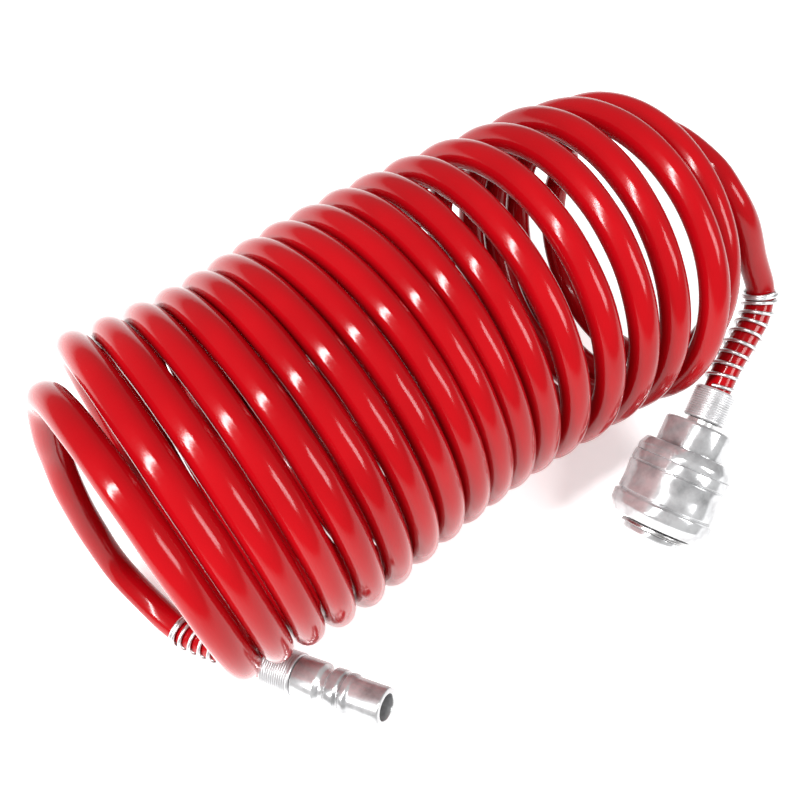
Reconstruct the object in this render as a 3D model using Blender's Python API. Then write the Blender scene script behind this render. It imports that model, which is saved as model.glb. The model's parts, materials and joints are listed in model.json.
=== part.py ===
"""Spiral compressed-air hose with a plug nipple on one end and a quick coupler on the other.

Metres, +Z up. The coil lies on its side along X: the plug end at -X, the coupler end at +X.
The near end of the coil rests on the plug's tail, so its axis falls slightly towards +X.
"""
import math

import bpy
import numpy as np
from mathutils import Matrix, Vector

MM = 0.001
GAP = 0.3 * MM                      # clearance between pieces that touch on the real object

# hose and coil; PLACE centres the finished object over the origin
PLACE = Vector((3.91, -0.4, -0.05)) * MM
HOSE_OD = 8.0 * MM
COIL_RADIUS = 45.0 * MM             # centreline of a turn
COIL_OUTER = COIL_RADIUS + HOSE_OD / 2
COIL_INNER = COIL_RADIUS - HOSE_OD / 2
# each end face of the coil: its X on the axis, then the frontmost and the lowest reach of its turns
COIL_NEAR = Vector((-95.0, -30.5, 10.44)) * MM
COIL_FAR = Vector((74.0, -29.8, 0.16)) * MM

# routes of the two tails, through these points (plug end, then coupler end)
PLUG_TAIL = [
    (-99.3, 49.6, 65.0), (-101.4, 49.2, 54.0), (-103.8, 45.6, 41.5), (-105.6, 40.0, 25.5),
    (-106.0, 31.0, 11.0), (-103.4, 18.0, 5.9), (-100.2, 6.6, 5.7), (-95.9, -2.1, 8.9),
    (-83.3, -21.8, 17.8),
]
COUPLER_TAIL = [
    (81.0, 55.0, 56.0), (85.5, 45.5, 71.5), (88.0, 26.0, 83.0), (88.2, 9.0, 85.0),
    (88.8, -1.5, 81.0), (91.5, -8.2, 73.5), (94.8, -14.2, 61.5), (97.2, -20.4, 51.5),
    (93.2, -25.4, 45.9), (86.5, -28.4, 42.7), (79.0, -31.3, 38.8), (72.0, -35.0, 34.6),
]
PLUG_AXIS = Vector((0.512, -0.783, 0.352)).normalized()
COUPLER_AXIS = Vector((-0.775, -0.415, -0.476)).normalized()
GUARD_LENGTH = 34.0 * MM            # each bend guard, along its hose
TUBE_STEP = 3.6 * MM                # between the points of a tail's tube

# bend guards
GUARD_WIRE = 1.1 * MM
GUARD_TURNS = 10
GUARD_CLOSED_TURNS = 1.6

# ferrules
FERRULE_OD = 12.6 * MM
FERRULE_LENGTH = 10.0 * MM
FERRULE_RIDGES = 8
RIDGE_DEPTH = 0.35 * MM
HOSE_GRIP = 4.0 * MM                # how far the hose enters its ferrule
BARB_OD = 7.8 * MM
BARB_DEPTH = 0.6 * MM
BARB_LENGTH = 2.2 * MM
BORE = 5.0 * MM                     # through the tails

# plug nipple, distances from the ferrule's mouth
PLUG_BODY_OD = 12.0 * MM
PLUG_COLLAR_OD = 11.6 * MM
PLUG_GROOVE_OD = 9.4 * MM
PLUG_RING_OD = 11.4 * MM
PLUG_TIP_OD = 10.4 * MM
PLUG_TIP_BORE = 7.2 * MM
PLUG_BODY_END = 18.0 * MM
PLUG_GROOVE_END = 20.8 * MM
PLUG_COLLAR_END = 24.0 * MM
PLUG_RING_START = 25.2 * MM
PLUG_RING_END = 27.5 * MM
PLUG_LENGTH = 37.5 * MM

# coupler, distances from the ferrule's mouth
COUPLER_LENGTH = 50.0 * MM
NECK_OD = 9.4 * MM
NECK_END = 11.8 * MM
BODY_SHOULDER = 1.5 * MM            # between the sleeve's guide and the rear shell
BODY_REAR_END = 22.0 * MM
BODY_GUIDE_OD = 18.4 * MM
BODY_REAR_OD = BODY_GUIDE_OD + 2 * BODY_SHOULDER
SOCKET_BORE = 11.2 * MM
SOCKET_START = 30.6 * MM
SEAL_GROOVE_DEPTH = 1.65 * MM
SEAT_START = 28.6 * MM
SEAT_BORE = 8.4 * MM
CHAMBER_BORE = 13.0 * MM
TAIL_PLUG_END = 16.0 * MM
SLEEVE_OD = 32.0 * MM
SLEEVE_START = 20.5 * MM
SLEEVE_END = 46.0 * MM
SLEEVE_LAND_START = 34.0 * MM
SLEEVE_TRAVEL = 4.5 * MM
SLEEVE_CONE_LENGTH = 3.0 * MM       # at each end of the sleeve's outside
SLEEVE_REAR_STEP = 2.6 * MM
SLEEVE_NOSE_STEP = 2.2 * MM
SLEEVE_BANDS = (5.0 * MM, 7.4 * MM)  # the two fine bands, from the sleeve's rear
SLEEVE_WAIST = (8.6 * MM, 8.0 * MM)  # the waist's start from the rear, its end from the nose
RING_START = 46.6 * MM
RING_WIDTH = 1.2 * MM
RING_GROOVE_DEPTH = 0.8 * MM
RING_SECTION = 2.6 * MM             # across the ring's wire, outwards
RING_OPENING_DEG = 40.0

# locking balls
BALL_COUNT = 6
BALL_STATION = 41.0 * MM
BALL_REACH = 0.8 * MM               # how far a ball stands into the socket
BALL_INSET = 0.1 * MM               # how far its outermost point lies inside the guide's surface
BALL_R = (BODY_GUIDE_OD / 2 - BALL_INSET - SOCKET_BORE / 2 + BALL_REACH) / 2
BALL_TRAVEL = 1.0 * MM
BALL_HOLE_INNER = 3.0 * MM          # where a ball hole's cutter starts, from the axis
BALL_HOLE_MARGIN = 2.0 * MM         # how far it runs past the body

# sleeve spring
SLEEVE_SPRING_WIRE = 1.0 * MM
SLEEVE_SPRING_TURNS = 5

# valve
POPPET_HEAD_CLEARANCE = 0.8 * MM    # between the poppet's head and its chamber, for the air
POPPET_HEAD_OD = CHAMBER_BORE - 2 * POPPET_HEAD_CLEARANCE
POPPET_HEAD_START = 24.9 * MM
POPPET_HEAD_END = 27.1 * MM
POPPET_NOSE_OD = 6.4 * MM
POPPET_NOSE_END = 33.0 * MM
POPPET_GUIDE_OD = 4.4 * MM
POPPET_TRAVEL = 3.6 * MM
POPPET_GUIDE_START = TAIL_PLUG_END + POPPET_TRAVEL + 2 * GAP
POPPET_SEAL_R = 0.7 * MM
VALVE_SPRING_WIRE = 0.8 * MM
VALVE_SPRING_TURNS = 4

# seals
PLUG_SEAL_R = 0.95 * MM
PLUG_SEAL_STATION = 33.6 * MM
TAIL_SEAL_R = 0.75 * MM
TAIL_SEAL_STATION = 13.9 * MM

SEGMENTS = 28


def clear_scene():
    for old in list(bpy.data.objects):
        bpy.data.objects.remove(old, do_unlink=True)


def make_material(name, color, roughness, metallic):
    material = bpy.data.materials.new(name)
    material.use_nodes = True
    shader = material.node_tree.nodes["Principled BSDF"]
    shader.inputs["Base Color"].default_value = (*color, 1.0)
    shader.inputs["Roughness"].default_value = roughness
    shader.inputs["Metallic"].default_value = metallic
    material.diffuse_color = (*color, 1.0)
    return material


def mesh_object(name, points, faces, color, roughness, metallic, parent=None):
    """One closed mesh with its own material, smooth except at its sharp edges."""
    mesh = bpy.data.meshes.new(name)
    mesh.from_pydata([tuple(p) for p in points], [], faces)
    mesh.update()
    mesh.shade_smooth()
    mesh.set_sharp_from_angle(angle=math.radians(35))
    piece = bpy.data.objects.new(name, mesh)
    bpy.context.scene.collection.objects.link(piece)
    piece.parent = parent
    mesh.materials.append(make_material(name, color, roughness, metallic))
    return piece


def turned(name, profile, color, roughness, metallic, parent=None, segments=SEGMENTS):
    """A closed profile of (radius, distance) points, counter-clockwise, turned about local Z."""
    rings = []
    points = []
    for radius, along in profile:
        ring = []
        for k in range(segments):
            angle = 2 * math.pi * k / segments
            ring.append(len(points))
            points.append((radius * math.cos(angle), radius * math.sin(angle), along))
        rings.append(ring)
    faces = []
    for a, b in zip(rings, rings[1:] + rings[:1]):
        for k in range(segments):
            j = (k + 1) % segments
            faces.append((a[k], a[j], b[j], b[k]))
    return mesh_object(name, points, faces, color, roughness, metallic, parent)


def turned_solid(name, profile, color, roughness, metallic, parent=None, segments=SEGMENTS):
    """An open profile of (radius, distance) points from its low end to its high end, capped flat."""
    points = []
    for radius, along in profile:
        for k in range(segments):
            angle = 2 * math.pi * k / segments
            points.append((radius * math.cos(angle), radius * math.sin(angle), along))
    faces = [tuple(reversed(range(segments)))]
    for row in range(len(profile) - 1):
        base = row * segments
        for k in range(segments):
            j = (k + 1) % segments
            faces.append((base + k, base + j, base + segments + j, base + segments + k))
    last = (len(profile) - 1) * segments
    faces.append(tuple(range(last, last + segments)))
    return mesh_object(name, points, faces, color, roughness, metallic, parent)


def seal_ring(name, ring_radius, section, station, parent):
    """An O-ring: a round section turned about local Z."""
    profile = []
    for k in range(8):
        angle = 2 * math.pi * k / 8
        profile.append((ring_radius + section * math.cos(angle), station + section * math.sin(angle)))
    return turned(name, profile, (0.03, 0.03, 0.03), 0.55, 0.0, parent)


def frames_along(path):
    """Tangent and two normals at each point of a path, carried along without twist."""
    tangents = np.gradient(path, axis=0)
    tangents /= np.linalg.norm(tangents, axis=1)[:, None]
    side = np.cross(tangents[0], (0.0, 0.0, 1.0))
    side /= np.linalg.norm(side)
    sides = []
    for tangent in tangents:
        side = side - tangent * side.dot(tangent)
        side /= np.linalg.norm(side)
        sides.append(side)
    sides = np.array(sides)
    return tangents, sides, np.cross(tangents, sides)


def wire(name, path, radius, sides, color, roughness, metallic, parent=None):
    """A round wire along a path, with flat ends."""
    tangents, across, upward = frames_along(path)
    angles = 2 * math.pi * np.arange(sides) / sides
    points = []
    for centre, a, b in zip(path, across, upward):
        for angle in angles:
            points.append(centre + radius * (math.cos(angle) * a + math.sin(angle) * b))
    faces = [tuple(reversed(range(sides)))]
    for row in range(len(path) - 1):
        base = row * sides
        for k in range(sides):
            j = (k + 1) % sides
            faces.append((base + k, base + j, base + sides + j, base + sides + k))
    last = (len(path) - 1) * sides
    faces.append(tuple(range(last, last + sides)))
    return mesh_object(name, points, faces, color, roughness, metallic, parent)


def smooth_route(route, step):
    """Points a step apart on a Catmull-Rom curve through the route's points."""
    knots = [np.array(p) * MM + np.array(PLACE) for p in route]
    knots = [2 * knots[0] - knots[1]] + knots + [2 * knots[-1] - knots[-2]]
    fine = []
    for a, b, c, d in zip(knots, knots[1:], knots[2:], knots[3:]):
        for t in np.linspace(0.0, 1.0, 24, endpoint=False):
            fine.append(0.5 * (2 * b + (c - a) * t + (2 * a - 5 * b + 4 * c - d) * t**2
                               + (3 * b - a - 3 * c + d) * t**3))
    fine.append(knots[-2])
    fine = np.array(fine)
    run = np.concatenate([[0.0], np.cumsum(np.linalg.norm(np.diff(fine, axis=0), axis=1))])
    count = max(2, round(run[-1] / step))
    at = np.linspace(0.0, run[-1], count + 1)
    return np.stack([np.interp(at, run, fine[:, k]) for k in range(3)], axis=1)


def hose_tube(name, points):
    """A plain round tube through the points, with filled ends."""
    curve = bpy.data.curves.new(name, "CURVE")
    curve.dimensions = "3D"
    curve.bevel_depth = HOSE_OD / 2
    curve.bevel_resolution = 3
    curve.use_fill_caps = True
    spline = curve.splines.new("POLY")
    spline.points.add(len(points) - 1)
    for target, p in zip(spline.points, points):
        target.co = (*p, 1.0)
    tube = bpy.data.objects.new(name, curve)
    bpy.context.scene.collection.objects.link(tube)
    curve.materials.append(make_material(name, (0.62, 0.01, 0.02), 0.22, 0.0))
    return tube


def coil_sleeve():
    """The coil's outer shape: a hollow round sleeve one hose thick."""
    raised = Vector((0.0, COIL_OUTER, COIL_OUTER))
    start = COIL_NEAR + raised + PLACE
    axis = COIL_FAR - COIL_NEAR
    length = axis.length
    profile = [(COIL_INNER, 0.0), (COIL_OUTER, 0.0), (COIL_OUTER, length), (COIL_INNER, length)]
    coil = turned("hose_coil", profile, (0.62, 0.01, 0.02), 0.22, 0.0, segments=48)
    turn = axis.to_track_quat("Z", "Y").to_matrix().to_4x4()
    coil.matrix_world = Matrix.Translation(start) @ turn
    return coil


def fitting_frame(name, mouth, axis):
    """An empty at a ferrule's mouth, its Z along the fitting away from the hose."""
    empty = bpy.data.objects.new(name, None)
    bpy.context.scene.collection.objects.link(empty)
    empty.matrix_world = Matrix.Translation(mouth) @ axis.to_track_quat("Z", "Y").to_matrix().to_4x4()
    bpy.context.view_layer.update()
    return empty


def bend_guard(name, tail):
    """A wire spring round the last stretch of hose, its first turns closed up."""
    fine = smooth_route(tail, 0.4 * MM)
    run = np.concatenate([[0.0], np.cumsum(np.linalg.norm(np.diff(fine, axis=0), axis=1))])
    tangents, across, upward = frames_along(fine)
    closed_pitch = GUARD_WIRE + 0.12 * MM
    closed = GUARD_CLOSED_TURNS * closed_pitch
    end = run[-1] - GAP - GUARD_WIRE / 2
    start = run[-1] - GUARD_LENGTH
    open_pitch = (end - start - closed) / (GUARD_TURNS - GUARD_CLOSED_TURNS)
    turn = np.linspace(0.0, GUARD_TURNS, GUARD_TURNS * 12 + 1)
    along = np.where(turn < GUARD_CLOSED_TURNS, turn * closed_pitch,
                     closed + (turn - GUARD_CLOSED_TURNS) * open_pitch)
    at = start + along
    centre = np.stack([np.interp(at, run, fine[:, k]) for k in range(3)], axis=1)
    a = np.stack([np.interp(at, run, across[:, k]) for k in range(3)], axis=1)
    b = np.stack([np.interp(at, run, upward[:, k]) for k in range(3)], axis=1)
    radius = HOSE_OD / 2 + GAP + GUARD_WIRE / 2
    angle = 2 * math.pi * turn[:, None]
    path = centre + radius * (np.cos(angle) * a + np.sin(angle) * b)
    return wire(name, path, GUARD_WIRE / 2, 6, (0.6, 0.6, 0.6), 0.3, 1.0)


def ferrule(name, frame):
    """A crimped ferrule with ring-shaped ridges, bored for the hose."""
    outer = FERRULE_OD / 2
    bore = HOSE_OD / 2 + GAP
    ridge = FERRULE_LENGTH / FERRULE_RIDGES
    profile = [(bore, 0.0)]
    for k in range(FERRULE_RIDGES):
        profile.append((outer - RIDGE_DEPTH, k * ridge))
        profile.append((outer, (k + 0.5) * ridge))
    profile.append((outer - RIDGE_DEPTH, FERRULE_LENGTH))
    profile.append((bore, FERRULE_LENGTH))
    return turned(name, profile, (0.72, 0.72, 0.72), 0.28, 1.0, frame)


def barb_profile():
    """The outer side of a hose tail inside its ferrule, from the hose's end outwards."""
    start = HOSE_GRIP + GAP
    crest = BARB_OD / 2
    root = crest - BARB_DEPTH
    back = BARB_DEPTH / 3
    return [
        (root, start),
        (crest, start + BARB_LENGTH - back),
        (root, start + BARB_LENGTH),
        (crest, start + 2 * BARB_LENGTH - back),
        (root, start + 2 * BARB_LENGTH),
    ]


def plug_nipple(frame):
    """The plug: hose tail, smooth body, locking groove, collars and a bored tip."""
    body = PLUG_BODY_OD / 2
    collar = PLUG_COLLAR_OD / 2
    tip = PLUG_TIP_OD / 2
    groove = PLUG_GROOVE_OD / 2
    edge = 0.5 * MM
    mouth = FERRULE_LENGTH + GAP
    outer = barb_profile() + [
        (BARB_OD / 2 - BARB_DEPTH, mouth),
        (body - edge, mouth),
        (body, mouth + edge),
        (body, PLUG_BODY_END - edge),
        (groove, PLUG_BODY_END + edge),
        (groove, PLUG_GROOVE_END - edge),
        (collar, PLUG_GROOVE_END + edge),
        (collar, PLUG_COLLAR_END),
        (groove + edge, PLUG_COLLAR_END + edge),
        (groove + edge, PLUG_RING_START),
        (PLUG_RING_OD / 2, PLUG_RING_START + edge),
        (PLUG_RING_OD / 2, PLUG_RING_END - edge),
        (tip, PLUG_RING_END + edge),
        (tip, PLUG_LENGTH - edge),
        (tip - edge, PLUG_LENGTH),
    ]
    inner = [
        (PLUG_TIP_BORE / 2, PLUG_LENGTH),
        (PLUG_TIP_BORE / 2, PLUG_COLLAR_END),
        (BORE / 2, PLUG_GROOVE_END),
        (BORE / 2, HOSE_GRIP + GAP),
    ]
    return turned("plug_nipple", outer + inner, (0.8, 0.8, 0.8), 0.12, 1.0, frame)


def coupler_tail(frame):
    """The hose tail that screws into the coupler's rear, with a groove for its seal."""
    seat = CHAMBER_BORE / 2 - GAP
    groove = seat - 2 * TAIL_SEAL_R
    half = TAIL_SEAL_R + GAP
    outer = barb_profile() + [
        (BARB_OD / 2 - BARB_DEPTH, FERRULE_LENGTH),
        (NECK_OD / 2, FERRULE_LENGTH + GAP),
        (NECK_OD / 2, NECK_END),
        (seat, NECK_END),
        (seat, TAIL_SEAL_STATION - half),
        (groove, TAIL_SEAL_STATION - half),
        (groove, TAIL_SEAL_STATION + half),
        (seat, TAIL_SEAL_STATION + half),
        (seat, TAIL_PLUG_END),
    ]
    inner = [(BORE / 2, TAIL_PLUG_END), (BORE / 2, HOSE_GRIP + GAP)]
    turned("coupler_tail", outer + inner, (0.7, 0.7, 0.7), 0.2, 1.0, frame)
    seal_ring("tail_seal", groove + TAIL_SEAL_R, TAIL_SEAL_R - GAP / 2, TAIL_SEAL_STATION, frame)


def coupler_body(frame):
    """The coupler's body: rear shell, sleeve guide, valve chamber, seat, socket and ball holes."""
    edge = 0.6 * MM
    rear = BODY_REAR_OD / 2
    guide = BODY_GUIDE_OD / 2
    groove = guide - RING_GROOVE_DEPTH
    ring_half = GAP
    seal_half = PLUG_SEAL_R + GAP
    seal_groove = SOCKET_BORE / 2 + SEAL_GROOVE_DEPTH
    outer = [
        (rear - edge, NECK_END + GAP),
        (rear, NECK_END + GAP + edge),
        (rear, BODY_REAR_END),
        (guide, BODY_REAR_END),
        (guide, RING_START - ring_half),
        (groove, RING_START - ring_half),
        (groove, RING_START + RING_WIDTH + ring_half),
        (guide, RING_START + RING_WIDTH + ring_half),
        (guide, COUPLER_LENGTH - edge),
        (guide - edge, COUPLER_LENGTH),
    ]
    inner = [
        (SOCKET_BORE / 2 + edge, COUPLER_LENGTH),
        (SOCKET_BORE / 2, COUPLER_LENGTH - edge),
        (SOCKET_BORE / 2, PLUG_SEAL_STATION + seal_half),
        (seal_groove, PLUG_SEAL_STATION + seal_half),
        (seal_groove, PLUG_SEAL_STATION - seal_half),
        (SOCKET_BORE / 2, PLUG_SEAL_STATION - seal_half),
        (SOCKET_BORE / 2, SOCKET_START),
        (SEAT_BORE / 2, SEAT_START + edge),
        (SEAT_BORE / 2, SEAT_START),
        (CHAMBER_BORE / 2, SEAT_START - edge),
        (CHAMBER_BORE / 2, NECK_END + GAP),
    ]
    body = turned("coupler_body", outer + inner, (0.75, 0.75, 0.75), 0.15, 1.0, frame)
    for k in range(BALL_COUNT):
        angle = 2 * math.pi * k / BALL_COUNT
        hole = BALL_R + GAP
        run = [(hole, BALL_HOLE_INNER), (hole, guide + BALL_HOLE_MARGIN)]
        cutter = turned_solid(f"ball_hole_cutter_{k + 1}", run, (0.5, 0.5, 0.5), 0.5, 0.0, frame, 16)
        outward = Vector((math.cos(angle), math.sin(angle), 0.0))
        turn = outward.to_track_quat("Z", "Y").to_matrix().to_4x4()
        cutter.matrix_local = Matrix.Translation((0.0, 0.0, BALL_STATION)) @ turn
        cutter.hide_render = True
        cutter.display_type = "WIRE"
        cut = body.modifiers.new(cutter.name, "BOOLEAN")
        cut.object = cutter
        cut.operation = "DIFFERENCE"
        cut.solver = "EXACT"
    return body


def locking_balls(frame):
    """Steel balls in the body's holes, each standing a little way into the socket."""
    rings = 6
    around = 12
    centre = SOCKET_BORE / 2 - BALL_REACH + BALL_R
    for k in range(BALL_COUNT):
        profile = []
        for row in range(1, rings):
            polar = math.pi * row / rings
            profile.append((BALL_R * math.sin(polar), -BALL_R * math.cos(polar)))
        angle = 2 * math.pi * k / BALL_COUNT
        ball = turned_solid(f"locking_ball_{k + 1}", profile, (0.75, 0.75, 0.75), 0.1, 1.0, frame, around)
        ball.location = (centre * math.cos(angle), centre * math.sin(angle), BALL_STATION)


def sliding_sleeve(frame):
    """The sleeve: grip bands outside, a spring pocket, a land over the balls and a release cone."""
    outer = SLEEVE_OD / 2
    edge = 1.0 * MM
    fine = 0.25 * MM
    pocket = BODY_REAR_OD / 2 + GAP
    land = BODY_GUIDE_OD / 2 + GAP
    cone = land + BALL_TRAVEL / SLEEVE_TRAVEL * (SLEEVE_END - BALL_STATION)
    waist_start = SLEEVE_START + SLEEVE_WAIST[0]
    waist_end = SLEEVE_END - SLEEVE_WAIST[1]
    profile = [
        (pocket, SLEEVE_START),
        (outer - SLEEVE_REAR_STEP, SLEEVE_START),
        (outer - edge, SLEEVE_START + SLEEVE_CONE_LENGTH),
    ]
    for offset in SLEEVE_BANDS:
        band = SLEEVE_START + offset
        profile.append((outer - edge / 2, band - fine))
        profile.append((outer - edge, band))
        profile.append((outer - edge / 2, band + fine))
    profile += [
        (outer - edge / 2, waist_start),
        (outer - 1.2 * edge, (waist_start + waist_end) / 2),
        (outer - edge / 2, waist_end),
        (outer - 1.4 * edge, waist_end + 2 * fine),
        (outer, waist_end + 4 * fine),
        (outer, SLEEVE_END - SLEEVE_CONE_LENGTH),
        (outer - SLEEVE_NOSE_STEP, SLEEVE_END),
        (cone, SLEEVE_END),
        (land, BALL_STATION),
        (land, SLEEVE_LAND_START),
        (pocket, SLEEVE_LAND_START),
    ]
    return turned("sliding_sleeve", profile, (0.8, 0.8, 0.8), 0.12, 1.0, frame)


def retaining_ring(frame):
    """An open wire-cut ring in the nose groove that stops the sleeve."""
    inner = BODY_GUIDE_OD / 2 - RING_GROOVE_DEPTH + GAP
    outer = inner + RING_SECTION
    low = RING_START
    high = RING_START + RING_WIDTH
    steps = 30
    points = []
    for k in range(steps + 1):
        angle = math.radians(RING_OPENING_DEG / 2 + (360 - RING_OPENING_DEG) * k / steps)
        for radius, along in ((inner, low), (outer, low), (outer, high), (inner, high)):
            points.append((radius * math.cos(angle), radius * math.sin(angle), along))
    faces = [(0, 1, 2, 3)]
    for k in range(steps):
        for j in range(4):
            i = (j + 1) % 4
            faces.append((4 * k + j, 4 * k + 4 + j, 4 * k + 4 + i, 4 * k + i))
    faces.append(tuple(4 * steps + j for j in (3, 2, 1, 0)))
    return mesh_object("retaining_ring", points, faces, (0.55, 0.55, 0.55), 0.3, 1.0, frame)


def compression_spring(name, radius, wire_d, turns, low, high, parent):
    """A round wire spring between two flat seats, a gap off each."""
    first = low + GAP + wire_d / 2
    last = high - GAP - wire_d / 2
    turn = np.linspace(0.0, turns, turns * 14 + 1)
    angle = 2 * math.pi * turn
    path = np.stack([radius * np.cos(angle), radius * np.sin(angle), first + (last - first) * turn / turns], axis=1)
    return wire(name, path, wire_d / 2, 6, (0.5, 0.5, 0.5), 0.3, 1.0, parent)


def valve(frame):
    """The valve poppet with its face seal, and the spring that closes it."""
    head = POPPET_HEAD_OD / 2
    nose = POPPET_NOSE_OD / 2
    guide = POPPET_GUIDE_OD / 2
    edge = 0.5 * MM
    seal_radius = SEAT_BORE / 2 + POPPET_SEAL_R / 2
    half = POPPET_SEAL_R + GAP
    groove = POPPET_HEAD_END - POPPET_SEAL_R
    profile = [
        (guide - edge, POPPET_GUIDE_START),
        (guide, POPPET_GUIDE_START + edge),
        (guide, POPPET_HEAD_START),
        (head, POPPET_HEAD_START),
        (head, POPPET_HEAD_END),
        (seal_radius + half, POPPET_HEAD_END),
        (seal_radius + half, groove),
        (nose, groove),
        (nose, POPPET_NOSE_END - edge),
        (nose - edge, POPPET_NOSE_END),
    ]
    turned_solid("valve_poppet", profile, (0.75, 0.6, 0.3), 0.3, 1.0, frame)
    station = groove + GAP + POPPET_SEAL_R
    seal_ring("valve_seal", seal_radius, POPPET_SEAL_R, station, frame)
    spring_radius = guide + GAP + VALVE_SPRING_WIRE
    compression_spring("valve_spring", spring_radius, VALVE_SPRING_WIRE, VALVE_SPRING_TURNS,
                       TAIL_PLUG_END, POPPET_HEAD_START, frame)


def build():
    clear_scene()
    coil_sleeve()
    ends = (("plug", PLUG_TAIL, PLUG_AXIS), ("coupler", COUPLER_TAIL, COUPLER_AXIS))
    frames = {}
    for name, tail, axis in ends:
        mouth = Vector(tail[-1]) * MM + PLACE
        frames[name] = fitting_frame(f"{name}_frame", mouth, axis)
        points = list(smooth_route(tail, TUBE_STEP))
        points.append(np.array(mouth + axis * HOSE_GRIP))
        hose_tube(f"hose_tail_{name}", points)
        bend_guard(f"{name}_bend_guard", tail)
        ferrule(f"{name}_ferrule", frames[name])
    plug_nipple(frames["plug"])
    coupler = frames["coupler"]
    coupler_tail(coupler)
    coupler_body(coupler)
    locking_balls(coupler)
    sliding_sleeve(coupler)
    retaining_ring(coupler)
    spring_radius = BODY_GUIDE_OD / 2 + GAP + SLEEVE_SPRING_WIRE / 2
    compression_spring("sleeve_spring", spring_radius, SLEEVE_SPRING_WIRE, SLEEVE_SPRING_TURNS,
                       BODY_REAR_END, SLEEVE_LAND_START, coupler)
    seal_radius = SOCKET_BORE / 2 + SEAL_GROOVE_DEPTH - GAP - PLUG_SEAL_R
    seal_ring("plug_seal", seal_radius, PLUG_SEAL_R, PLUG_SEAL_STATION, coupler)
    valve(coupler)
    bpy.context.view_layer.update()


build()
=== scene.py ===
import json
import math
import bpy
import numpy as np
from mathutils import Matrix

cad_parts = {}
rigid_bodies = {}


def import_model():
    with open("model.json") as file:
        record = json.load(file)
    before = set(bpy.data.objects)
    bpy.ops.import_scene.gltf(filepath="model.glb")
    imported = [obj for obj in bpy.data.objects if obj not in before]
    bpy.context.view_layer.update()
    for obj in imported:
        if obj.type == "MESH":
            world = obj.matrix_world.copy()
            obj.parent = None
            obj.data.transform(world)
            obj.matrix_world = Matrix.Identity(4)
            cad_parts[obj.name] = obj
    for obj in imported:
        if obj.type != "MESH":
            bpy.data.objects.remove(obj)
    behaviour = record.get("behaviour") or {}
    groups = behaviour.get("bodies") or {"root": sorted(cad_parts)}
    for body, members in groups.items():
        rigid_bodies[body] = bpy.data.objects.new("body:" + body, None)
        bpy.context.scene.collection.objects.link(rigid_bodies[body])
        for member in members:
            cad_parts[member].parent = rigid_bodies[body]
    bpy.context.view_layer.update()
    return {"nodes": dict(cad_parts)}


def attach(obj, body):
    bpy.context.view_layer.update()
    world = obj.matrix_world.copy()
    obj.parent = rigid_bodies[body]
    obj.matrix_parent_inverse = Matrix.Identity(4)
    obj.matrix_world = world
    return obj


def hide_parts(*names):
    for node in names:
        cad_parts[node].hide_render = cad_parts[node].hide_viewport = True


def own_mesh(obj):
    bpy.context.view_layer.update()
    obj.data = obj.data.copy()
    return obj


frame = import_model()
nodes = frame["nodes"]
mm = 0.001


# places, in millimetres, repeated from the part's source
centring = np.array([3.91, -0.4, -0.05])   # puts the finished object over the origin
plugTail = [
    (-99.3, 49.6, 65.0), (-101.4, 49.2, 54.0), (-103.8, 45.6, 41.5), (-105.6, 40.0, 25.5),
    (-106.0, 31.0, 11.0), (-103.4, 18.0, 5.9), (-100.2, 6.6, 5.7), (-95.9, -2.1, 8.9),
    (-83.3, -21.8, 17.8),
]
couplerTail = [
    (81.0, 55.0, 56.0), (85.5, 45.5, 71.5), (88.0, 26.0, 83.0), (88.2, 9.0, 85.0),
    (88.8, -1.5, 81.0), (91.5, -8.2, 73.5), (94.8, -14.2, 61.5), (97.2, -20.4, 51.5),
    (93.2, -25.4, 45.9), (86.5, -28.4, 42.7), (79.0, -31.3, 38.8), (72.0, -35.0, 34.6),
]
plugAxis = (0.512, -0.783, 0.352)
couplerAxis = (-0.775, -0.415, -0.476)
hoseSize = 8.0
gap = 0.3


def unit(v):
    # v over its length, along the last axis
    v = np.asarray(v, float)
    return v / np.linalg.norm(v, axis=-1, keepdims=True)


# camera
cameraSet = {
    "place": (-80.8, -75.0, 262.6),
    "ahead": (0.2766, 0.3657, -0.8887),
    "roll": 0.03,
    "lens": 37.79,
}


def makeCamera(s):
    # right is ahead x up, then both are turned by the roll about the line of sight
    ahead = unit(s["ahead"])
    level = unit(np.cross(ahead, (0, 0, 1)))
    upright = np.cross(level, ahead)
    right = math.cos(s["roll"]) * level + math.sin(s["roll"]) * upright
    up = np.cross(right, ahead)
    data = bpy.data.cameras.new("camera")
    data.lens = s["lens"]
    data.sensor_width = 36
    data.clip_start = 0.01
    camera = bpy.data.objects.new("camera", data)
    bpy.context.scene.collection.objects.link(camera)
    place = (np.array(s["place"]) + centring) * mm
    rows = np.eye(4)
    rows[:3, 0], rows[:3, 1], rows[:3, 2], rows[:3, 3] = right, up, -ahead, place
    camera.matrix_world = Matrix(rows.tolist())
    bpy.context.scene.camera = camera


makeCamera(cameraSet)
print("camera placed")


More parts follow.
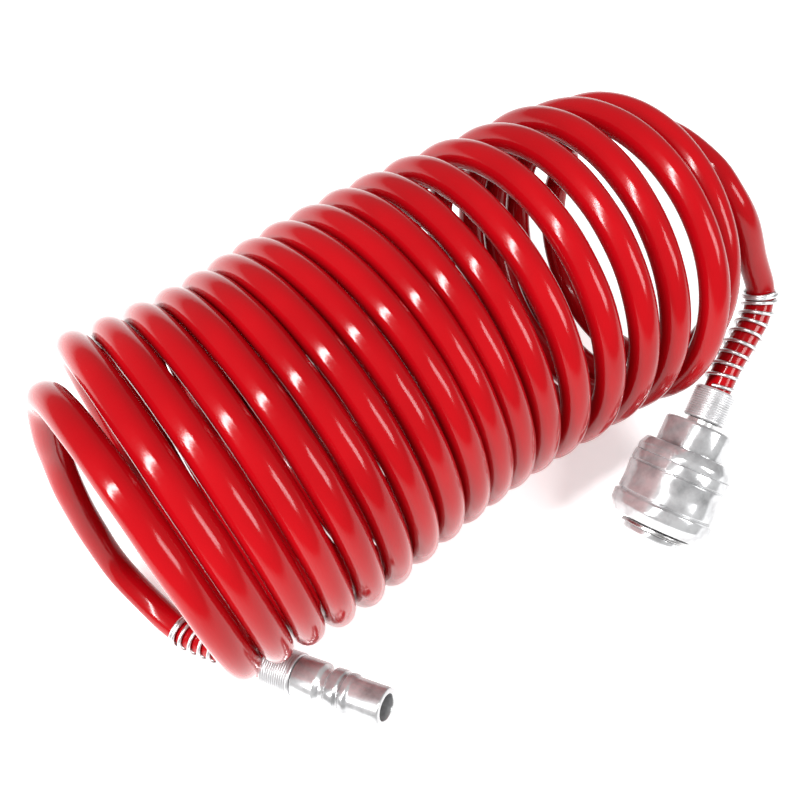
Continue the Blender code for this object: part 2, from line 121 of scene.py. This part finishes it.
# shader maths
class Tree:
    # a material's nodes; any node comes from make(type, settings, sockets)
    def __init__(self, name):
        self.material = bpy.data.materials.new(name)
        self.material.use_nodes = True
        self.tree = self.material.node_tree
        self.shader = self.tree.nodes["Principled BSDF"]

    def make(self, kind, settings=None, sockets=None, out=0):
        node = self.tree.nodes.new(kind)
        for name, value in (settings or {}).items():
            if name == "stops":
                while len(node.color_ramp.elements) < len(value):
                    node.color_ramp.elements.new(0.5)
                for element, (place, color) in zip(node.color_ramp.elements, value):
                    element.position = place
                    element.color = (*color, 1) if len(color) == 3 else color
            else:
                setattr(node, name, value)
        for name, value in (sockets or {}).items():
            self.feed(node.inputs[name], value)
        return Sock(self, node.outputs[out])

    def feed(self, socket, value):
        if isinstance(value, Sock):
            self.tree.links.new(value.socket, socket)
        elif isinstance(value, tuple) and len(value) == 3 and socket.type == "RGBA":
            socket.default_value = (*value, 1)
        else:
            socket.default_value = value

    def coords(self):
        return self.make("ShaderNodeTexCoord", out=3)

    def uv(self):
        return self.make("ShaderNodeTexCoord", out=2)

    def noise(self, at, scale, detail=3.0, rough=0.5, stretch=(1, 1, 1)):
        # fractal noise about 0.5, on coordinates stretched per axis
        moved = self.make("ShaderNodeMapping", sockets={"Vector": at, "Scale": stretch})
        return self.make("ShaderNodeTexNoise", sockets={
            "Vector": moved, "Scale": scale, "Detail": detail, "Roughness": rough})

    def ramp(self, value, stops):
        return self.make("ShaderNodeValToRGB", {"stops": stops}, {"Fac": value})

    def mixColor(self, factor, a, b, how="MIX"):
        node = self.make("ShaderNodeMix", {"data_type": "RGBA", "blend_type": how}, out=2)
        inputs = node.socket.node.inputs
        self.feed(inputs[0], factor)
        self.feed(inputs[6], a)
        self.feed(inputs[7], b)
        return node

    def bump(self, height, strength, distance):
        return self.make("ShaderNodeBump", sockets={
            "Height": height, "Strength": strength, "Distance": distance})

    def finish(self, **sockets):
        for name, value in sockets.items():
            self.feed(self.shader.inputs[name.replace("_", " ")], value)
        return self.material


class Sock:
    # a socket that adds its own Math nodes
    def __init__(self, tree, socket):
        self.tree = tree
        self.socket = socket

    def math(self, how, a, b=0.0, clamp=False):
        node = self.tree.tree.nodes.new("ShaderNodeMath")
        node.operation = how
        node.use_clamp = clamp
        self.tree.feed(node.inputs[0], a)
        self.tree.feed(node.inputs[1], b)
        return Sock(self.tree, node.outputs[0])

    def __add__(self, other):
        return self.math("ADD", self, other)

    __radd__ = __add__

    def __mul__(self, other):
        return self.math("MULTIPLY", self, other)

    __rmul__ = __mul__

    def __sub__(self, other):
        return self.math("SUBTRACT", self, other)

    def __rsub__(self, other):
        return self.math("SUBTRACT", other, self)

    def clamped(self):
        return self.math("ADD", self, 0.0, clamp=True)


# surfaces
def gridMesh(name, grid, rowsClosed=False, caps=True, around=1.0, along=1.0, sharp=40):
    # grid is rows x columns x 3; quads join neighbours, columns wrap round, rows may wrap too;
    # the UV map runs u down the rows and v round the columns
    rows, cols = grid.shape[:2]
    index = np.arange(rows * cols).reshape(rows, cols)
    nextCol = np.roll(index, -1, axis=1)
    low, high = index, np.roll(index, -1, axis=0)
    lowNext, highNext = nextCol, np.roll(nextCol, -1, axis=0)
    if not rowsClosed:
        low, high, lowNext, highNext = low[:-1], high[:-1], lowNext[:-1], highNext[:-1]
    quads = np.stack([low, lowNext, highNext, high], axis=-1)
    faces = quads.reshape(-1, 4).tolist()
    u0 = np.broadcast_to(np.arange(quads.shape[0])[:, None], quads.shape[:2])
    v0 = np.broadcast_to(np.arange(quads.shape[1])[None, :], quads.shape[:2])
    corners = np.stack([np.stack([u0, v0], -1), np.stack([u0, v0 + 1], -1),
                        np.stack([u0 + 1, v0 + 1], -1), np.stack([u0 + 1, v0], -1)], axis=2)
    uv = corners.reshape(-1, 2) * np.array([along / max(quads.shape[0], 1), around / quads.shape[1]])
    if caps and not rowsClosed:
        faces.append(index[0][::-1].tolist())
        faces.append(index[-1].tolist())
        uv = np.concatenate([uv, np.zeros((2 * cols, 2))])
    mesh = bpy.data.meshes.new(name)
    mesh.from_pydata(grid.reshape(-1, 3).tolist(), [], faces)
    layer = mesh.uv_layers.new(name="surface")
    layer.data.foreach_set("uv", uv.astype(np.float32).ravel())
    mesh.shade_smooth()
    mesh.set_sharp_from_angle(angle=math.radians(sharp))
    mesh.update()
    piece = bpy.data.objects.new(name, mesh)
    bpy.context.scene.collection.objects.link(piece)
    return piece


def tubeGrid(path, side, radius, sides):
    # around each point of the path: point + radius (cos a across + sin a over), across kept square to the path
    tangent = unit(np.gradient(path, axis=0))
    across = unit(side - tangent * np.sum(side * tangent, axis=1, keepdims=True))
    over = np.cross(tangent, across)
    angle = 2 * np.pi * np.arange(sides) / sides
    radius = np.broadcast_to(np.asarray(radius, float).reshape(-1, 1, 1), (len(path), 1, 1))
    ring = np.cos(angle)[None, :, None] * across[:, None, :] + np.sin(angle)[None, :, None] * over[:, None, :]
    return path[:, None, :] + radius * ring


def smoothLine(knots, step):
    # Catmull-Rom through the knots, then points an even step apart along it
    knots = np.asarray(knots, float)
    ends = np.concatenate([[2 * knots[0] - knots[1]], knots, [2 * knots[-1] - knots[-2]]])
    a, b, c, d = ends[:-3, None], ends[1:-2, None], ends[2:-1, None], ends[3:, None]
    t = np.linspace(0, 1, 24, endpoint=False)[None, :, None]
    curve = 0.5 * (2 * b + (c - a) * t + (2 * a - 5 * b + 4 * c - d) * t**2 + (3 * b - a - 3 * c + d) * t**3)
    line = np.concatenate([curve.reshape(-1, 3), knots[-1:]])
    run = runAlong(line)
    at = np.linspace(0, run[-1], max(2, round(run[-1] / step)) + 1)
    return readAlong(line, run, at)


def runAlong(line):
    # distance from the start to each point
    return np.concatenate([[0], np.cumsum(np.linalg.norm(np.diff(line, axis=0), axis=1))])


def readAlong(line, run, at):
    # each coordinate read at those distances
    return np.stack([np.interp(at, run, line[:, k]) for k in range(3)], axis=1)


def axisFrame(mouth, axis):
    # origin, two directions square to the axis, and the axis
    along = unit(axis)
    across = unit(np.cross(along, (0, 0, 1)))
    return np.asarray(mouth, float), across, np.cross(along, across), along


def softened(profile, steps=3):
    # each corner (radius, distance, cut) gives way to a curve that starts and ends cut away from it:
    # (1-t)^2 start + 2t(1-t) corner + t^2 end
    corners = np.array([p[:2] for p in profile], float)
    cuts = np.array([p[2] if len(p) > 2 else 0.0 for p in profile])
    before = np.roll(corners, 1, axis=0) - corners
    after = np.roll(corners, -1, axis=0) - corners
    start = corners + unit(before + 1e-12) * cuts[:, None]
    end = corners + unit(after + 1e-12) * cuts[:, None]
    t = np.linspace(0, 1, steps + 1)[None, :, None]
    curve = (1 - t)**2 * start[:, None] + 2 * t * (1 - t) * corners[:, None] + t**2 * end[:, None]
    points = [curve[k] if cuts[k] > 0 else corners[k:k + 1] for k in range(len(corners))]
    return np.concatenate(points)


def latheGrid(profile, place, sides):
    # each (radius, distance): origin + distance along + radius (cos a across + sin a over)
    origin, across, over, along = place
    profile = np.asarray(profile, float)
    angle = 2 * np.pi * np.arange(sides) / sides
    ring = np.cos(angle)[:, None] * across + np.sin(angle)[:, None] * over
    return origin + profile[:, 1, None, None] * along + profile[:, 0, None, None] * ring[None]


def latheRing(name, profile, place, sides, sharp=40):
    # the softened profile turned round the place's axis, closed on itself
    grid = latheGrid(softened(profile), place, sides) * mm
    return gridMesh(name, grid, rowsClosed=True, sharp=sharp)


# the hose
hoseSet = {
    "coilRadius": 45.4,
    "startTurn": -0.05,
    "endTurn": 17.85,
    "pointsPerTurn": 20,
    "startAngle": -0.6,                  # of turn 0 from the top, towards the front
    "startPull": (18.5, 8.0, 0.2, 0.35),    # drawn in, and back along, from that turn over that much of a turn
    "endPull": (10.0, 0.0, 16.3, 1.55),
    "turnKeys": (0, 4, 8, 12, 13, 14, 15, 16, 18),
    "alongKeys": (-91.0, -56.5, -22.0, 16.5, 27.5, 39.5, 52.0, 62.5, 81.0),
    "sideKeys": (20.0, 17.5, 21.0, 22.0, 21.5, 20.5, 21.0, 18.5, 18.5),
    "heightKeys": (58.8, 57.5, 55.4, 53.4, 52.6, 52.0, 50.6, 50.1, 49.6),
    "headingKeys": (0.0, 0.01, 0.04, -0.055, -0.06, -0.07, -0.10, -0.055, -0.10),
    "leanKeys": (-0.02, -0.03, -0.03, -0.015, -0.07, -0.095, -0.10, -0.145, -0.16),
    "grip": 4.0,
    "ringStep": 2.4,
    "sides": 20,
    "ripple": ((0.035, 3.1, 41.0), (0.03, 7.7, 1.3)),   # size, wavelength / 2 pi; a slow beat, then a phase
    "swell": 0.1,
}


def throughKeys(at, keys, values):
    # a cubic through the keys, its slopes the mean of the two sides'
    keys = np.asarray(keys, float)
    values = np.asarray(values, float)
    slope = np.gradient(values, keys)
    k = np.clip(np.searchsorted(keys, at, side="right") - 1, 0, len(keys) - 2)
    width = keys[k + 1] - keys[k]
    t = (at - keys[k]) / width
    return ((2 * t**3 - 3 * t**2 + 1) * values[k] + (t**3 - 2 * t**2 + t) * width * slope[k]
            + (3 * t**2 - 2 * t**3) * values[k + 1] + (t**3 - t**2) * width * slope[k + 1])


def coilPoints(s):
    # centre(turn) + radius (cos angle up + sin angle front); a turn's plane is turned by the heading about
    # the upright and tipped by the lean
    turn = np.linspace(s["startTurn"], s["endTurn"], round((s["endTurn"] - s["startTurn"]) * s["pointsPerTurn"]) + 1)
    angle = 2 * np.pi * turn + s["startAngle"]
    x = throughKeys(turn, s["turnKeys"], s["alongKeys"])
    y = throughKeys(turn, s["turnKeys"], s["sideKeys"])
    z = throughKeys(turn, s["turnKeys"], s["heightKeys"])
    heading = throughKeys(turn, s["turnKeys"], s["headingKeys"])
    lean = throughKeys(turn, s["turnKeys"], s["leanKeys"])
    inAtStart, backAtStart, startTo, startOver = s["startPull"]
    inAtEnd, onAtEnd, endFrom, endOver = s["endPull"]
    pull = np.clip((startTo - turn) / startOver, 0, None)**2
    draw = np.clip((turn - endFrom) / endOver, 0, None)**2
    radius = s["coilRadius"] - inAtStart * pull - inAtEnd * draw
    x = x - backAtStart * pull + onAtEnd * draw
    front = np.stack([np.sin(heading), -np.cos(heading), 0 * turn], axis=1)
    up = np.stack([-np.sin(lean) * np.cos(heading), -np.sin(lean) * np.sin(heading), np.cos(lean)], axis=1)
    centre = np.stack([x, y, z], axis=1)
    return centre + (radius * np.cos(angle))[:, None] * up + (radius * np.sin(angle))[:, None] * front


def hoseLine(s):
    # from inside the plug's ferrule, back along its tail, round the coil and out into the coupler's ferrule
    plugEnd = np.array(plugTail[-1])
    couplerEnd = np.array(couplerTail[-1])
    inPlug = plugEnd + s["grip"] * unit(plugAxis)
    inCoupler = couplerEnd + s["grip"] * unit(couplerAxis)
    coil = coilPoints(s)
    knots = np.concatenate([[inPlug], plugTail[::-1], coil, couplerTail, [inCoupler]])
    return smoothLine(knots, s["ringStep"]) + centring


def makeHose(s):
    # a tube round the line; its radius wavers: a sin(run/p) sin(run/q) + b sin(run/r + c)
    line = hoseLine(s)
    tangent = unit(np.gradient(line, axis=0))
    side = np.cross(tangent, (1.0, 0.0, 0.0))
    run = runAlong(line)
    (beatSize, quick, slow), (waveSize, length, phase) = s["ripple"]
    ripple = beatSize * np.sin(run / quick) * np.sin(run / slow) + waveSize * np.sin(run / length + phase)
    grid = tubeGrid(line, side, hoseSize / 2 + ripple + s["swell"], s["sides"])
    hose = gridMesh("air_hose", grid * mm, along=run[-1] * mm, around=1.0)
    return hose, line, run


hose, hoseRoute, hoseRun = makeHose(hoseSet)


# finishes
hoseFinish = {"deep": (0.24, 0.001, 0.003), "bright": (0.37, 0.002, 0.005), "roughness": 0.13, "gloss": 0.22}


def hosePlastic(s):
    # red mottled by slow noise; gloss broken by faint draw lines along the hose and slow waves
    t = Tree("glossy_red_hose")
    at = t.coords()
    cloudy = t.noise(at, 26.0, 4.0)
    speckle = t.noise(at, 900.0, 2.0)
    lines = t.noise(t.uv(), 1.0, 3.0, 0.6, (30.0, 38.0, 1.0))
    color = t.mixColor((cloudy * 1.5 - 0.25).clamped(), s["deep"], s["bright"])
    rough = s["roughness"] + (cloudy - 0.5) * 0.10 + (speckle - 0.5) * 0.06
    height = lines * 0.5 + speckle * 0.12
    normal = t.bump(height, 0.12, 0.0004)
    return t.finish(Base_Color=color, Roughness=rough, Normal=normal, Specular_IOR_Level=s["gloss"])


chromeFinish = {"tint": (0.56, 0.565, 0.57), "dull": (0.28, 0.28, 0.285)}


def turnedMetal(name, tint, dull, roughness, lineCount, lineDepth, metallic=0.6):
    # turning lines run round the piece: noise read along its length only; wear dulls and roughens patches
    t = Tree(name)
    at = t.coords()
    wear = t.noise(at, 140.0, 5.0, 0.6)
    fine = t.noise(at, 1500.0, 2.0)
    lines = t.noise(t.uv(), 1.0, 2.0, 0.6, (lineCount, 0.6, 1.0))
    patch = t.ramp(wear, [(0.42, (0, 0, 0)), (0.72, (1, 1, 1))])
    color = t.mixColor(patch, tint, dull)
    rough = roughness + wear * 0.10 + (lines - 0.5) * 0.12 + (fine - 0.5) * 0.05
    normal = t.bump(lines + fine * 0.2, lineDepth, 0.0003)
    return t.finish(Base_Color=color, Roughness=rough.clamped(), Metallic=metallic, Normal=normal)


def plainMetal(name, tint, dull, roughness, scale, depth):
    # cast or drawn metal: colour and gloss vary with two noises, no direction
    t = Tree(name)
    at = t.coords()
    wear = t.noise(at, scale, 5.0, 0.6)
    fine = t.noise(at, scale * 9, 2.0)
    color = t.mixColor((wear * 1.6 - 0.3).clamped(), tint, dull)
    rough = roughness + (wear - 0.5) * 0.25 + (fine - 0.5) * 0.12
    return t.finish(Base_Color=color, Roughness=rough.clamped(), Metallic=1.0,
                    Normal=t.bump(wear * 0.6 + fine, depth, 0.0003))


def sealRubber():
    # near-black rubber with fine grain
    t = Tree("black_seal_rubber")
    grain = t.noise(t.coords(), 1200.0, 3.0)
    color = t.mixColor(grain, (0.012, 0.012, 0.012), (0.035, 0.034, 0.033))
    return t.finish(Base_Color=color, Roughness=0.45 + grain * 0.25, Normal=t.bump(grain, 0.2, 0.0002))


redHose = hosePlastic(hoseFinish)
plugMetal = turnedMetal("plated_plug", chromeFinish["tint"], chromeFinish["dull"], 0.16, 90.0, 0.05)
couplerMetal = turnedMetal("plated_coupler", chromeFinish["tint"], chromeFinish["dull"], 0.11, 110.0, 0.04)
ferruleMetal = turnedMetal("satin_ferrule", (0.62, 0.62, 0.63), (0.42, 0.42, 0.42), 0.26, 160.0, 0.10)
wireMetal = plainMetal("galvanised_wire", (0.80, 0.80, 0.80), (0.60, 0.60, 0.61), 0.34, 300.0, 0.15)
springSteel = plainMetal("spring_steel", (0.55, 0.55, 0.56), (0.38, 0.37, 0.36), 0.28, 300.0, 0.12)
innerMetal = turnedMetal("machined_inner_steel", (0.66, 0.66, 0.66), (0.46, 0.46, 0.46), 0.22, 120.0, 0.08)
ballMetal = plainMetal("polished_ball_steel", (0.78, 0.78, 0.79), (0.62, 0.62, 0.63), 0.10, 400.0, 0.03)
brass = plainMetal("machined_brass", (0.72, 0.52, 0.22), (0.52, 0.36, 0.14), 0.26, 260.0, 0.10)
blackRubber = sealRubber()


def dress(piece, material, body="hose_and_fittings", replaces=()):
    # the piece takes its finish, rides on its body and stands for its CAD nodes
    piece.data.materials.clear()
    piece.data.materials.append(material)
    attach(piece, body)
    if replaces:
        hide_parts(*replaces)


def dressNode(name, material):
    piece = nodes[name]
    for slot in piece.material_slots:
        slot.material = material


dress(hose, redHose, replaces=("hose_coil", "hose_tail_plug", "hose_tail_coupler"))
print("hose dressed")


# bend guards
guardSet = {
    "wire": 1.1,
    "turns": 10.2,
    "closedTurns": 1.7,
    "closedPitch": 1.16,
    "length": 34.0,
    "pointsPerTurn": 28,
    "sides": 10,
}


def bendGuard(name, s, fromEnd, backwards):
    # the wire's middle: hose line + radius (cos a across + sin a over); the pitch is tight for the closed turns,
    # then even up to the ferrule
    ends = hoseRun[-1] - fromEnd if not backwards else fromEnd
    turn = np.linspace(0, s["turns"], round(s["turns"] * s["pointsPerTurn"]) + 1)
    closed = s["closedTurns"] * s["closedPitch"]
    last = s["length"] - gap - s["wire"] / 2
    pitch = (last - closed) / (s["turns"] - s["closedTurns"])
    along = np.where(turn < s["closedTurns"], turn * s["closedPitch"], closed + (turn - s["closedTurns"]) * pitch)
    at = ends - s["length"] + along if not backwards else ends + s["length"] - along
    centre = readAlong(hoseRoute, hoseRun, at)
    tangent = unit(readAlong(unit(np.gradient(hoseRoute, axis=0)), hoseRun, at))
    across = unit(np.cross(tangent, (1.0, 0.0, 0.0)))
    over = np.cross(tangent, across)
    radius = hoseSize / 2 + gap + s["wire"] / 2
    angle = (2 * np.pi * turn)[:, None]
    outward = np.cos(angle) * across + np.sin(angle) * over
    path = centre + radius * outward
    grid = tubeGrid(path, outward, s["wire"] / 2, s["sides"])
    return gridMesh(name, grid * mm, along=8.0, around=1.0)


plugGuard = bendGuard("plug_guard_spring", guardSet, hoseSet["grip"], True)
dress(plugGuard, wireMetal, replaces=("plug_bend_guard",))
couplerGuard = bendGuard("coupler_guard_spring", guardSet, hoseSet["grip"], False)
dress(couplerGuard, wireMetal, replaces=("coupler_bend_guard",))
print("bend guards wound")


# ferrules, plug and coupler
plugPlace = axisFrame(np.array(plugTail[-1]) + centring, plugAxis)
couplerPlace = axisFrame(np.array(couplerTail[-1]) + centring, couplerAxis)

ferruleSet = {"outer": 6.3, "length": 10.0, "bore": 4.3, "rings": 12, "depth": 0.30, "smoothEnd": 1.1, "sides": 72}


def ferruleProfile(s):
    # the outside: outer - depth |sin| along the ringed stretch, plain at the end next to the fitting
    along = np.linspace(0.3, s["length"] - s["smoothEnd"], s["rings"] * 8 + 1)
    phase = np.pi * s["rings"] * (along - along[0]) / (along[-1] - along[0])
    wave = s["outer"] - s["depth"] * (1 - np.abs(np.sin(phase)))
    outside = [(r, a) for r, a in zip(wave, along)]
    return ([(s["bore"], 0.0), (s["outer"] - 0.4, 0.0)] + outside
            + [(s["outer"], s["length"] - s["smoothEnd"] + 0.2), (s["outer"], s["length"] - 0.3),
               (s["outer"] - 0.3, s["length"]), (s["bore"], s["length"])])


plugFerrule = latheRing("plug_crimp_ferrule", ferruleProfile(ferruleSet), plugPlace, ferruleSet["sides"], 60)
dress(plugFerrule, ferruleMetal, replaces=("plug_ferrule",))
couplerFerrule = latheRing("coupler_crimp_ferrule", ferruleProfile(ferruleSet), couplerPlace, ferruleSet["sides"], 60)
dress(couplerFerrule, ferruleMetal, replaces=("coupler_ferrule",))

plugProfile = [
    (3.1, 4.3, 0.1), (3.9, 6.3, 0.1), (3.3, 6.5, 0.1), (3.9, 8.5, 0.1), (3.3, 8.7, 0.1), (3.3, 10.3, 0.1),
    (6.0, 10.3, 0.35), (6.0, 17.7, 0.3), (4.7, 18.7, 0.3), (4.7, 20.3, 0.3), (5.8, 21.2, 0.3), (5.8, 24.0, 0.3),
    (5.1, 24.5, 0.2), (5.1, 25.1, 0.2), (5.7, 25.6, 0.3), (5.7, 27.0, 0.3), (5.2, 27.9, 0.3), (5.2, 37.5, 0.45),
    (3.6, 37.5, 0.25), (3.6, 24.0, 0.2), (2.5, 20.8, 0.2), (2.5, 4.3, 0.1),
]
plugPiece = latheRing("air_plug", plugProfile, plugPlace, 96)
dress(plugPiece, plugMetal, replaces=("plug_nipple",))
print("plug turned")

bodyProfile = [
    (10.0, 11.8, 0.2), (10.7, 12.4, 0.4), (10.7, 22.0, 0.2), (9.2, 22.0, 0.2), (9.2, 46.3, 0.1), (8.4, 46.3, 0.1),
    (8.4, 48.1, 0.1), (9.2, 48.1, 0.15), (9.2, 49.5, 0.3), (8.7, 50.0, 0.3), (6.3, 50.0, 0.3), (5.6, 49.4, 0.2),
    (5.6, 34.9, 0.1), (7.25, 34.9, 0.1), (7.25, 32.3, 0.1), (5.6, 32.3, 0.1), (5.6, 30.6, 0.2), (4.2, 29.2, 0.2),
    (4.2, 28.6, 0.1), (6.5, 28.0, 0.2), (6.5, 11.8, 0.2),
]
ballSet = {"count": 6, "radius": 2.15, "station": 41.0, "centre": 6.95}


def couplerShell(s):
    # the turned body, with a round hole for each ball cut square to the axis
    body = latheRing("coupler_shell", bodyProfile, couplerPlace, 96)
    origin, across, over, along = couplerPlace
    for k in range(s["count"]):
        angle = 2 * np.pi * k / s["count"]
        outward = math.cos(angle) * across + math.sin(angle) * over
        start = origin + s["station"] * along + 3.0 * outward
        path = start + np.linspace(0, 8, 5)[:, None] * outward
        hole = tubeGrid(path, np.broadcast_to(along, path.shape), s["radius"] + gap, 28)
        cutter = gridMesh("ball_hole_cutter", hole * mm)
        cut = body.modifiers.new("ball_hole", "BOOLEAN")
        cut.object = cutter
        cut.solver = "EXACT"
        bpy.context.view_layer.objects.active = body
        bpy.ops.object.modifier_apply(modifier=cut.name)
        bpy.data.objects.remove(cutter, do_unlink=True)
    body.data.shade_smooth()
    body.data.set_sharp_from_angle(angle=math.radians(40))
    return body


shell = couplerShell(ballSet)
dress(shell, couplerMetal, replaces=("coupler_body",))

sleeveProfile = [
    (11.0, 20.5, 0.2), (13.4, 20.5, 0.6), (14.9, 23.4, 0.6), (14.9, 25.2, 0.1), (14.6, 25.35, 0.1), (15.1, 25.6, 0.15),
    (15.4, 28.6, 0.15), (15.0, 28.85, 0.1), (15.0, 29.05, 0.1), (15.5, 29.3, 0.3), (15.0, 33.5, 2.0),
    (15.4, 38.4, 0.3), (15.0, 38.7, 0.1), (15.0, 38.9, 0.1), (16.0, 39.6, 0.3), (16.0, 42.9, 0.5), (13.9, 46.0, 0.5),
    (10.6, 46.0, 0.2), (9.5, 41.0, 0.2), (9.5, 34.0, 0.2), (11.0, 34.0, 0.2),
]
sleeve = latheRing("grip_sleeve", sleeveProfile, couplerPlace, 120)
dress(sleeve, couplerMetal, "sleeve", ("sliding_sleeve",))
print("coupler turned")

ringSet = {"inner": 8.7, "outer": 11.3, "low": 46.6, "width": 1.2, "opening": 40.0, "steps": 90}


def openRing(s):
    # a soft-cornered square section carried round the axis, less the opening
    origin, across, over, along = couplerPlace
    section = softened([(s["inner"], s["low"], 0.2), (s["outer"], s["low"], 0.3),
                        (s["outer"], s["low"] + s["width"], 0.3), (s["inner"], s["low"] + s["width"], 0.2)])
    angle = np.radians(s["opening"] / 2 + (360 - s["opening"]) * np.linspace(0, 1, s["steps"] + 1))
    ring = np.cos(angle)[:, None] * across + np.sin(angle)[:, None] * over
    grid = origin + section[None, :, 1, None] * along + section[None, :, 0, None] * ring[:, None, :]
    return gridMesh("sleeve_stop_ring", grid * mm)


stopRing = openRing(ringSet)
dress(stopRing, springSteel, replaces=("retaining_ring",))


def lockingBall(k, s):
    # polar grid: centre + radius (sin p (cos a, sin a), cos p), its poles closed by small caps
    origin, across, over, along = couplerPlace
    angle = 2 * np.pi * k / s["count"]
    outward = math.cos(angle) * across + math.sin(angle) * over
    centre = origin + s["station"] * along + s["centre"] * outward
    polar = np.linspace(0.03, np.pi - 0.03, 21)
    profile = np.stack([s["radius"] * np.sin(polar), -s["radius"] * np.cos(polar)], axis=1)
    return gridMesh(f"ball_{k + 1}", latheGrid(profile, (centre, across, over, along), 32) * mm, sharp=80)


for k in range(ballSet["count"]):
    ball = lockingBall(k, ballSet)
    dress(ball, ballMetal, f"ball_{k + 1}", (f"locking_ball_{k + 1}",))
print("ring and balls made")

sleeveSpringSet = {"radius": 10.0, "wire": 1.0, "turns": 5, "low": 22.0, "high": 34.0, "travel": 4.5}
valveSpringSet = {"radius": 3.3, "wire": 0.8, "turns": 4, "low": 16.0, "high": 24.9, "travel": 3.6}


def innerSpring(name, s, stands):
    # a helix between two seats, a gap off each
    origin, across, over, along = couplerPlace
    turn = np.linspace(0, s["turns"], s["turns"] * 28 + 1)
    first = s["low"] + gap + s["wire"] / 2
    last = s["high"] - gap - s["wire"] / 2
    angle = (2 * np.pi * turn)[:, None]
    outward = np.cos(angle) * across + np.sin(angle) * over
    station = first + (last - first) * turn / s["turns"]
    path = origin + station[:, None] * along + s["radius"] * outward
    spring = gridMesh(name, tubeGrid(path, outward, s["wire"] / 2, 10) * mm, along=4.0)
    dress(spring, springSteel, replaces=(stands,))
    fixed = (origin + (s["low"] + gap) * along) * mm
    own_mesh(spring)
    return spring


sleeveSpring = innerSpring("sleeve_return_spring", sleeveSpringSet, "sleeve_spring")
valveSpring = innerSpring("valve_return_spring", valveSpringSet, "valve_spring")
print("inner springs wound")

for name, material in (("coupler_tail", innerMetal), ("valve_poppet", brass), ("tail_seal", blackRubber),
                       ("plug_seal", blackRubber), ("valve_seal", blackRubber)):
    dressNode(name, material)


# the pieces that ride on the hose, gathered in a list
onHose = [plugGuard, couplerGuard, plugFerrule, couplerFerrule, plugPiece, shell, sleeve, stopRing]
onHose += [bpy.data.objects[f"ball_{k + 1}"] for k in range(ballSet["count"])]
onHose += [sleeveSpring, valveSpring]
onHose += [nodes[name] for name in ("coupler_tail", "valve_poppet", "tail_seal", "plug_seal", "valve_seal")]


# floor and light
lightSet = {
    "world": 0.36,
    "floorGlow": 0.5,
    "keyPlace": (-0.55, 0.05, 0.75), "keySize": (0.07, 0.9), "keyPower": 14.0,
    "fillPlace": (0.35, -0.75, 0.75), "fillSize": (0.35, 0.5), "fillPower": 8.0,
}


def makeFloor():
    # a wide pale sheet, faintly uneven in gloss
    edge = 2.5
    mesh = bpy.data.meshes.new("floor")
    mesh.from_pydata([(-edge, -edge, 0), (edge, -edge, 0), (edge, edge, 0), (-edge, edge, 0)], [], [(0, 1, 2, 3)])
    floor = bpy.data.objects.new("floor", mesh)
    bpy.context.scene.collection.objects.link(floor)
    t = Tree("pale_floor")
    grain = t.noise(t.coords(), 60.0, 3.0)
    mesh.materials.append(t.finish(Base_Color=t.mixColor(grain, (0.90, 0.90, 0.90), (0.93, 0.93, 0.93)),
                                   Roughness=0.7 + grain * 0.1,
                                   Emission_Color=(1.0, 1.0, 1.0), Emission_Strength=lightSet["floorGlow"]))


def areaLight(name, place, aim, size, power):
    # a rectangle at place, facing aim
    data = bpy.data.lights.new(name, "AREA")
    data.shape = "RECTANGLE"
    data.size, data.size_y = size
    data.energy = power
    light = bpy.data.objects.new(name, data)
    bpy.context.scene.collection.objects.link(light)
    away = unit(np.array(place) - np.array(aim))
    level = unit(np.cross((0, 0, 1), away)) if abs(away[2]) < 0.999 else np.array((1.0, 0, 0))
    rows = np.eye(4)
    rows[:3, 0], rows[:3, 1], rows[:3, 2], rows[:3, 3] = level, np.cross(away, level), away, place
    light.matrix_world = Matrix(rows.tolist())


def makeWorld(strength):
    # even white from everywhere
    world = bpy.data.worlds.new("studio")
    world.use_nodes = True
    world.node_tree.nodes["Background"].inputs["Color"].default_value = (1, 1, 1, 1)
    world.node_tree.nodes["Background"].inputs["Strength"].default_value = strength
    bpy.context.scene.world = world


makeFloor()
makeWorld(lightSet["world"])
areaLight("key", lightSet["keyPlace"], (0, 0, 0.05), lightSet["keySize"], lightSet["keyPower"])
areaLight("fill", lightSet["fillPlace"], (0, 0, 0.03), lightSet["fillSize"], lightSet["fillPower"])
bpy.context.scene.view_settings.view_transform = "Standard"
print("floor and lights set")
